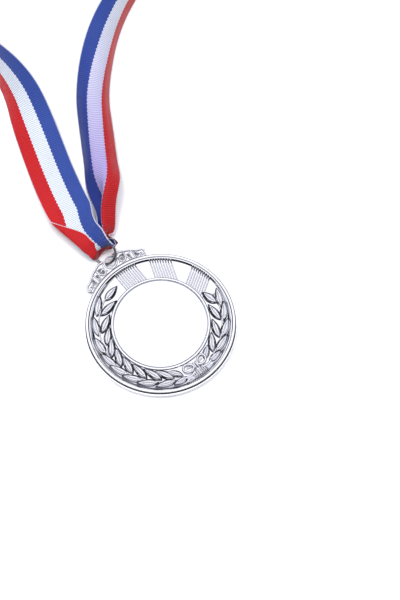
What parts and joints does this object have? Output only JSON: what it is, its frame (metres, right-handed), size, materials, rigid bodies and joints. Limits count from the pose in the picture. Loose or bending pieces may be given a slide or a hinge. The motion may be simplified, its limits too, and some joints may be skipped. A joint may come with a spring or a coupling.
{
  "type": "medal",
  "caption": "Round award medal with laurel relief, openwork crest, jump ring and a striped neck ribbon, lying flat.",
  "frame": {"origin": "centre of the medal's flat back, which rests on the surface", "axes": "+Z out of the medal's face, +Y towards the crown and eyelet, +X to the medal's right"},
  "size_m": [0.2144, 0.3426, 0.0202],
  "materials": {
    "plated_casting": "bright nickel-chrome plate on zinc die casting",
    "polished_insert": "mirror-polished plate",
    "adhesive_film": "clear double-sided film",
    "ring_wire": "dark nickel-plated steel wire",
    "ribbon_weave": "ribbed polyester ribbon in red, white and blue stripes",
    "sewing_thread": "white polyester thread"
  },
  "bodies": {
    "medal": {"medal_body": "plated_casting", "centre_insert": "polished_insert", "insert_adhesive": "adhesive_film"},
    "ring": {"jump_ring": "ring_wire"},
    "ribbon": {"ribbon_ring_fold": "ribbon_weave", "ribbon_left_strand": "ribbon_weave", "ribbon_right_strand": "ribbon_weave", "ribbon_neck_loop": "ribbon_weave", "ribbon_stitching": "sewing_thread"}
  },
  "joints": [
    {"name": "ring_swing", "type": "hinge", "parent": "medal", "child": "ring", "pos_m": [0, 0.0358, 0.0023], "axis": [0, 0, 1], "range_deg": [-45, 40]},
    {"name": "ribbon_lift", "type": "hinge", "parent": "ring", "child": "ribbon", "pos_m": [-0.00002, 0.04577, 0.00564], "axis": [0.7233, -0.09, 0.6847], "range_deg": [0, 95]}
  ]
}
